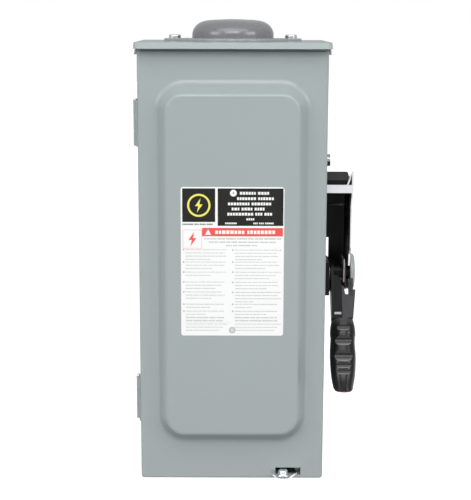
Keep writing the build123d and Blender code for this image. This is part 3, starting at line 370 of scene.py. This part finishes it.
def piece(name, build, body, material, smooth=False, soften=0.0):
    """Mesh piece on a body, made by build(bm)."""
    mesh = bpy.data.meshes.new(name)
    bm = bmesh.new()
    build(bm)
    bmesh.ops.recalc_face_normals(bm, faces=bm.faces)
    for face in bm.faces:
        face.smooth = smooth
    bm.to_mesh(mesh)
    bm.free()
    obj = bpy.data.objects.new(name, mesh)
    bpy.context.scene.collection.objects.link(obj)
    mesh.materials.append(material)
    if smooth:
        mesh.set_sharp_from_angle(angle=math.radians(40))
    if soften:
        rounding = obj.modifiers.new("edges", "BEVEL")
        rounding.width = soften * MM
        rounding.segments = 2
        rounding.limit_method = "ANGLE"
    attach(obj, body)
    return obj


# ---------------------------------------------------------------- printed door label

label_low, label_high = (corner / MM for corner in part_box("door_label"))
PRINT = 0.05
PRINT_RISE = 0.5
LAYER = (label_low.y - PRINT, label_low.y)
TOP_LAYER = (label_low.y - 2 * PRINT, label_low.y - PRINT)


def spot(u, v):
    """Object position of a point given across and down from just above the label's corner."""
    return label_low.x + u, label_high.z + PRINT_RISE - v


def bar(bm, u, v, layer=LAYER):
    """Printed rectangle between label limits."""
    (x0, z0), (x1, z1) = spot(u[0], v[0]), spot(u[1], v[1])
    add_slab(bm, (x0, x1), layer, (z0, z1))


def dashes(bm, rng, u, v, height, layer=LAYER, words=(3, 9)):
    """Row of plain dashes grouped like words, centred on v; no letters."""
    at = u[0]
    while at < u[1] - height:
        for _ in range(rng.randint(*words)):
            wide = height * rng.uniform(0.48, 0.74)
            if at + wide > u[1]:
                break
            tall = height * rng.choice((0.72, 0.76, 0.76, 0.80)) / 2
            bar(bm, (at, at + wide), (v - tall, v + 0.38 * height), layer)
            at += wide + 0.17 * height
        at += 0.42 * height


# Blocks are pairs of limits across and down; rows are start, end, place down and height
HEAD_BLOCK = ((31.4, 87.2), (1.6, 33.7))
MARK_BLOCK = ((1.3, 29.3), (1.6, 30.4))
BANNER = ((18.2, 87.0), (35.5, 42.7))
MARK_CENTRE = (15.4, 16.1)
HEAD_ROWS = (
    (50.2, 77.4, 5.7, 3.1),
    (47.9, 81.1, 10.3, 3.1),
    (40.1, 77.9, 14.8, 3.1),
    (43.3, 75.1, 19.2, 3.1),
    (39.6, 78.3, 23.6, 3.1),
    (55.8, 63.1, 28.0, 2.4),
    (37.8, 50.2, 31.5, 1.8),
    (61.7, 80.2, 31.5, 1.8),
)
NOTE_ROWS = ((19.8, 86.2, 44.9), (24.0, 81.6, 47.8), (38.7, 66.3, 50.7))
LINE_PITCH = 2.78
BOLD_ROWS = (113.9, 116.6)
FOOT_ROW = 119.6

# Columns are bullet, start, end and groups of (first row, number of rows)
LEFT_COLUMN = (2.4, 3.9, 39.6, (
    (54.4, 4), (65.1, 3), (73.9, 2), (82.6, 3), (91.3, 3), (102.1, 2), (108.2, 2)))
RIGHT_COLUMN = (44.4, 46.3, 86.2, (
    (54.6, 4), (65.1, 3), (73.9, 3), (82.8, 3), (91.6, 4), (102.1, 2), (108.3, 2)))
COLUMNS = (LEFT_COLUMN, RIGHT_COLUMN)
PICTOGRAM_FRAME = (
    ((1.7, 18.0), (37.2, 37.45)),
    ((1.7, 18.0), (52.9, 53.15)),
    ((1.7, 1.95), (37.45, 52.9)),
    ((17.75, 18.0), (37.45, 52.9)),
)
FOOT_DIAL = (44.0, 125.0)
BOLT = ((1.6, 6.6), (-3.6, -0.8), (-0.5, -0.8), (-1.8, -6.6), (3.6, 0.9), (0.5, 0.9))


def bolt_outline(centre, scale):
    """Generic lightning bolt about a label point."""
    x, z = spot(*centre)
    return [(x + scale * a, z + scale * b) for a, b in BOLT]


def print_black(bm):
    bar(bm, *HEAD_BLOCK)
    bar(bm, *MARK_BLOCK)


def print_yellow(bm):
    add_ring(bm, spot(*MARK_CENTRE), 8.2, 9.9, TOP_LAYER)
    add_prism(bm, bolt_outline(MARK_CENTRE, 0.92), TOP_LAYER)


def print_white(bm):
    rng = random.Random(11)
    for start, end, v, height in HEAD_ROWS:
        dashes(bm, rng, (start, end), v, height, TOP_LAYER)
    add_ring(bm, spot(44.7, 5.6), 0.6, 2.9, TOP_LAYER)
    x, z = spot(23.2, 41.5)
    add_prism(bm, ((x - 2.7, z), (x + 2.7, z), (x, z + 4.7)), TOP_LAYER)
    dashes(bm, rng, (29.3, 83.2), 39.2, 4.0, TOP_LAYER, (5, 8))


def print_red(bm):
    bar(bm, *BANNER)
    for u, v in PICTOGRAM_FRAME:
        bar(bm, u, v)
    add_prism(bm, bolt_outline((9.9, 45.2), 0.95), LAYER)


def print_dark(bm):
    rng = random.Random(5)
    dashes(bm, rng, (1.4, 28.8), 32.4, 1.7)
    for bullet, _, _, groups in COLUMNS:
        for first, _ in groups:
            x, z = spot(bullet, first)
            dot = [(x + 0.55 * math.cos(t), z + 0.55 * math.sin(t)) for t in circle(12)]
            add_prism(bm, dot, LAYER)


def print_grey(bm):
    rng = random.Random(23)
    for start, end, v in NOTE_ROWS:
        dashes(bm, rng, (start, end), v, 1.6)
    for _, start, end, groups in COLUMNS:
        for first, count in groups:
            for k in range(count):
                share = rng.uniform(0.35, 0.8) if k == count - 1 else rng.uniform(0.88, 1.0)
                line = (start, start + (end - start) * share)
                dashes(bm, rng, line, first + LINE_PITCH * k, 0.95)
        for row in BOLD_ROWS:
            dashes(bm, rng, (start, end - rng.uniform(0, 3)), row, 1.5)
        for k in range(3):
            dashes(bm, rng, (start, end - 3 * k), FOOT_ROW + LINE_PITCH * k, 0.9)
    add_ring(bm, spot(*FOOT_DIAL), 1.3, 2.9, LAYER)
    add_ring(bm, spot(*FOOT_DIAL), 0.15, 0.9, LAYER, 16)
    bar(bm, (1.6, 44.0), (118.0, 118.12))


for print_name, print_build, ink in (
    ("label_print_black", print_black, ink_black),
    ("label_print_yellow", print_yellow, ink_yellow),
    ("label_print_white", print_white, ink_white),
    ("label_print_red", print_red, ink_red),
    ("label_print_dark", print_dark, ink_dark),
    ("label_print_grey", print_grey, ink_grey),
):
    piece(print_name, print_build, "door", ink)


# ---------------------------------------------------------------- details on the outside

DOOR_FACE = -124.0
WELD_SPOTS = ((71.3, 172.0), (62.0, 175.5), (71.0, -180.5), (-70.5, 172.0), (-70.5, -180.5))
WELD_PROFILE = ((-0.2, 1.7), (0.02, 1.7), (0.09, 1.25), (0.06, 0.5))


# Faint resistance-weld marks on the door's face near its corners
def weld_marks(bm):
    for x, z in WELD_SPOTS:
        add_lathe(bm, (x, DOOR_FACE, z), (0, -1, 0), WELD_PROFILE, 24)


piece("door_weld_marks", weld_marks, "door", enamel, smooth=True)


# Bead pressed across the back web of the handle bracket; it takes the lighter arm enamel, not the
# bracket's black, as a painted highlight line
def web_bead(bm):
    add_lathe(bm, (80.4, -36.0, 40.5), (1, 0, 0),
              ((0, 0.3), (0.6, 0.8), (1.4, 1.0), (21.2, 1.0), (22.0, 0.8), (22.6, 0.3)), 16)


piece("bracket_web_bead", web_bead, "enclosure", arm_enamel, smooth=True)


LIP_OUTLINE = (
    (80.4, 70.4), (80.4, 78.5), (99.9, 78.5),
    (101.1, 77.8), (101.6, 76.6), (101.6, 70.4),
)


# Turned-up lip along the front of the bracket's top web, painted with a lighter copy of the
# bracket's black enamel as painted light
def top_lip(bm):
    add_prism(bm, LIP_OUTLINE, (-96.98, -95.80))


piece("bracket_top_lip", top_lip, "enclosure", lip_enamel_painted_light, soften=0.3)

# Handle frame: a point is given down the lever and towards its front
SHAFT = Vector((0.0, -66.0, -17.0))
LEVER_REST = math.radians(30.0)
DOWN = Vector((0.0, -math.sin(LEVER_REST), -math.cos(LEVER_REST)))
FRONT = Vector((0.0, -math.cos(LEVER_REST), math.sin(LEVER_REST)))


def on_lever(x, along, front):
    """Object position of a lever point, in millimetres."""
    return SHAFT + DOWN * along + FRONT * front + Vector((x, 0, 0))


# Plated cross pin at the foot of the inner arm's web
def arm_pin(bm):
    start, end = on_lever(91.2, 42.4, 8.7), on_lever(97.2, 42.4, 8.7)
    add_lathe(bm, start, end - start, ((0, 0.9), (0.3, 1.4), (6.5, 1.4), (6.8, 0.9)), 20)


piece("arm_cross_pin", arm_pin, "handle", cam_steel, smooth=True)


def lever_slab(bm, x, along, front):
    """Closed box lined up with the lever, in millimetres."""
    add_box(bm, [on_lever(a, b, c) for a in x for b in along for c in front])


# Seam strip that closes the joint between the two arms
def arm_seam(bm):
    lever_slab(bm, (97.3, 98.9), (12.0, 46.5), (5.4, 7.9))


# Stop blocks below the boss, one on each side of the red cam plate
def stop_blocks(bm):
    lever_slab(bm, (102.65, 105.8), (5.5, 15.0), (-5.0, 0.0))
    lever_slab(bm, (100.2, 101.65), (5.5, 15.4), (-5.0, 0.0))


piece("arm_seam", arm_seam, "handle", black_enamel, soften=0.2)
piece("arm_stop_blocks", stop_blocks, "handle", black_enamel, soften=0.3)


# Bare steel cam plate on the boss between the arms
def steel_cam(bm):
    add_slab(bm, (100.3, 101.3), (-80.5, -60.0), (-24.0, -3.0))


# Dark red cam plate beside the steel one
def red_cam(bm):
    add_slab(bm, (101.7, 102.6), (-79.5, -60.0), (-31.0, -6.0))


piece("steel_cam", steel_cam, "handle", cam_steel, soften=0.3)
piece("red_cam", red_cam, "handle", dark_red, soften=0.3)


# Head of the shaft rivet on the outside of the hub
def hub_rivet(bm):
    add_lathe(bm, (109.6, SHAFT.y, SHAFT.z), (1, 0, 0),
              ((0, 4.6), (0.5, 4.6), (0.95, 3.9), (1.25, 2.4), (1.35, 0.6)), 32)


piece("hub_rivet", hub_rivet, "handle", zinc, smooth=True)


# ---------------------------------------------------------------- details inside

POLES = (-38.0, 0.0, 38.0)


# Coiled toggle spring in place of its sleeve
def toggle_coil(bm):
    turns, wire, mean = 4.25, 1.05, 7.5
    low, high = (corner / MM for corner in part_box("toggle_spring"))
    start, length = low.x + wire, high.x - low.x - 2 * wire
    steps = int(turns * 28)
    path = []
    for k in range(steps + 1):
        t = 2 * math.pi * turns * k / steps
        y, z = SHAFT.y + mean * math.cos(t), SHAFT.z + mean * math.sin(t)
        path.append((start + length * k / steps, y, z))
    add_tube(bm, path, wire, 12)


coil = piece("toggle_coil", toggle_coil, "enclosure", spring_steel, smooth=True)
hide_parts("toggle_spring")


ARC_PLATE_LEVELS = (8.0, 12.4, 16.8, 21.2, 25.6)
ARC_PLATE = 1.2


# Steel arc plates between the cheeks of each chute, split round the jaws
def arc_plates(bm):
    for x in POLES:
        for z in ARC_PLATE_LEVELS:
            for side in (-1, 1):
                across = (x + side * 4.2, x + side * 8.95)
                add_slab(bm, across, (-74.0, -40.0), (z, z + ARC_PLATE))


piece("arc_plates", arc_plates, "enclosure", pan_zinc, soften=0.2)


# Half of a clip's wire: depth and distance from the pole's middle
CLIP_HALF = (
    (-74.0, 3.9), (-72.5, 3.5), (-66.0, 3.45), (-58.0, 3.6),
    (-54.9, 3.2), (-53.9, 1.8), (-53.6, 0.0),
)


# Spring clips that press the jaw leaves together
def jaw_clips(bm):
    for x in POLES:
        for z in (12.5, -46.5):
            path = [(x + away, y, z) for y, away in CLIP_HALF]
            path += [(2 * x - a, b, c) for a, b, c in reversed(path[:-1])]
            add_tube(bm, path, 0.5, 8)


piece("jaw_spring_clips", jaw_clips, "enclosure", spring_steel, smooth=True)


# Paper bands round the fuse tubes
def fuse_bands(bm):
    low, high = (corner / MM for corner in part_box("fuse_tubes"))
    middle = (low.z + high.z) / 2
    for x in POLES:
        add_lathe(bm, (x, -38.0, middle), (0, 0, 1),
                  ((-11.5, 9.6), (-11.4, 10.05), (11.4, 10.05), (11.5, 9.6)), 48)


# Printed stripes on the bands: where each starts on the band's height, and whether it is blue
STRIPES = ((0.0, 1.0), (0.12, 0.0), (0.62, 1.0), (0.68, 0.0), (0.88, 1.0))
fuse_print = surface("fuse_band_print", (0.80, 0.81, 0.78), 0.5, variation=0.03, patch=40.0,
                     grain=1200.0, edge=0.0)
stripe_tree = fuse_print.node_tree
band_share = height_share(stripe_tree, -108.0, -85.0, 0.0, 1.0)
stripes = linked(stripe_tree, "ShaderNodeValToRGB", Fac=band_share)
stripes.color_ramp.interpolation = "CONSTANT"
steps = stripes.color_ramp.elements
for share_of_band, _ in STRIPES[1:]:
    steps.new(share_of_band)
steps.remove(steps[-1])
for step, (_, blue) in zip(steps, STRIPES):
    step.color = (blue, blue, blue, 1.0)
lay_over(fuse_print, stripes.outputs["Color"], (0.05, 0.16, 0.38))
piece("fuse_bands", fuse_bands, "enclosure", fuse_print, smooth=True)

# Wiring diagram sheet on the inside of the door's raised panel
SHEET_FACE = -135.3
SHEET_BACK = SHEET_FACE + 0.15
DIAGRAM_X = (-40.0, 40.0)
DIAGRAM_Z = (-62.0, 66.0)
DIAGRAM_FRAME = (
    ((-38, 38), (63.4, 63.8)),
    ((-38, 38), (-60, -59.6)),
    ((-38, -37.6), (-59.6, 63.4)),
    ((37.6, 38), (-59.6, 63.4)),
)


def diagram_sheet(bm):
    add_slab(bm, DIAGRAM_X, (SHEET_FACE, SHEET_BACK), DIAGRAM_Z)


def diagram_print(bm):
    layer = (SHEET_BACK, SHEET_BACK + PRINT)
    rng = random.Random(41)
    for x in (-24.0, 0.0, 24.0):
        for z in ((34, 56), (-6, 22), (-30, -18)):
            add_slab(bm, (x - 0.3, x + 0.3), layer, z)
        add_ring(bm, (x, 57.6), 0.9, 1.6, layer, 20)
        add_ring(bm, (x, 32.6), 0.7, 1.3, layer, 16)
        add_ring(bm, (x, 23.2), 0.7, 1.3, layer, 16)
        blade = ((x + 0.3, 24.2), (x + 5.8, 31.0), (x + 5.4, 31.4), (x - 0.2, 24.6))
        add_prism(bm, blade, layer)
        for low, high in ((-2.5, -2.0), (2.0, 2.5)):
            add_slab(bm, (x + low, x + high), layer, (-18, -6))
        for z in ((-18, -17.5), (-6.5, -6)):
            add_slab(bm, (x - 2.0, x + 2.0), layer, z)
        add_ring(bm, (x, -31.6), 0.9, 1.6, layer, 20)
    for row in range(8):
        at = -36.0
        z = -40.0 - 2.6 * row
        end = 36.0 - rng.uniform(0, 14)
        while at < end:
            wide = rng.uniform(1.6, 5.2)
            add_slab(bm, (at, min(at + wide, end + 1)), layer, (z, z + 0.9))
            at += wide + 0.9
    for x, z in DIAGRAM_FRAME:
        add_slab(bm, x, layer, z)


piece("diagram_sheet", diagram_sheet, "door", vinyl)
piece("diagram_print", diagram_print, "door", ink_dark)


# ---------------------------------------------------------------- floor, light and camera

FLOOR_Z = -0.30
FLOOR_GLOW = 0.62
WHITE = (1.0, 1.0, 1.0, 1.0)
floor_mesh = bpy.data.meshes.new("studio_floor")
floor_bm = bmesh.new()
bmesh.ops.create_grid(floor_bm, x_segments=8, y_segments=8, size=9.0)
floor_bm.to_mesh(floor_mesh)
floor_bm.free()
floor = bpy.data.objects.new("studio_floor", floor_mesh)
floor.location = (0.0, 0.0, FLOOR_Z)
bpy.context.scene.collection.objects.link(floor)
floor_paint = surface("studio_floor_paint", (0.93, 0.93, 0.93), 0.85, variation=0.004, patch=2.0,
                      grain=60.0, bump=0.02, specular=0.1, edge=0.0)
floor_shader = floor_paint.node_tree.nodes["Principled BSDF"]
floor_shader.inputs["Emission Color"].default_value = WHITE
floor_shader.inputs["Emission Strength"].default_value = FLOOR_GLOW
floor_mesh.materials.append(floor_paint)
floor.visible_diffuse = False

# Pale surroundings, a little brighter above; the camera sees them white
world = bpy.data.worlds.new("studio")
bpy.context.scene.world = world
world.use_nodes = True
sky = world.node_tree
background = sky.nodes["Background"]
direction = sky.nodes.new("ShaderNodeTexCoord").outputs["Generated"]
upward = linked(sky, "ShaderNodeSeparateXYZ", Vector=direction).outputs["Z"]
strength = ranged(sky, upward, 0.36, 0.56, -0.6, 0.7)
is_camera = sky.nodes.new("ShaderNodeLightPath").outputs["Is Camera Ray"]
seen = linked(sky, "ShaderNodeMapRange", Value=is_camera)
sky.links.new(strength, seen.inputs["To Min"])
seen.inputs["To Max"].default_value = 1.0
sky.links.new(seen.outputs["Result"], background.inputs["Strength"])
background.inputs["Color"].default_value = WHITE

# Softboxes: name, place, aim, size and power
LIGHTS = (
    ("front_softbox", (0.0, -1.45, 0.95), (0.0, -0.06, 0.0), (1.1, 0.55), 8.6),
    ("left_softbox", (-1.25, -1.05, 0.68), (0.0, -0.06, 0.05), (0.8, 0.6), 5.6),
    ("right_softbox", (1.25, -1.05, 0.68), (0.0, -0.06, 0.05), (0.8, 0.6), 5.6),
    ("top_softbox", (0.0, -0.78, 1.15), (0.0, -0.10, 0.10), (1.7, 0.5), 5.2),
)
for light_name, place, aim, size, power in LIGHTS:
    lamp = bpy.data.lights.new(light_name, "AREA")
    lamp.shape = "RECTANGLE"
    lamp.size, lamp.size_y = size
    lamp.energy = power
    lamp_obj = bpy.data.objects.new(light_name, lamp)
    lamp_obj.location = place
    lamp_obj.rotation_euler = (Vector(aim) - Vector(place)).to_track_quat("-Z", "Y").to_euler()
    bpy.context.scene.collection.objects.link(lamp_obj)

camera_data = bpy.data.cameras.new("camera")
camera_data.sensor_width = 36.0
camera_data.lens = 89.68
camera_data.shift_x = 0.005
camera = bpy.data.objects.new("camera", camera_data)
camera.location = (0.0, -1.1824, 0.2107)
camera.rotation_euler = (math.radians(90.0 - 10.5548), math.radians(-0.15), 0.0)
bpy.context.scene.collection.objects.link(camera)
bpy.context.scene.camera = camera
bpy.context.scene.view_settings.view_transform = "Standard"
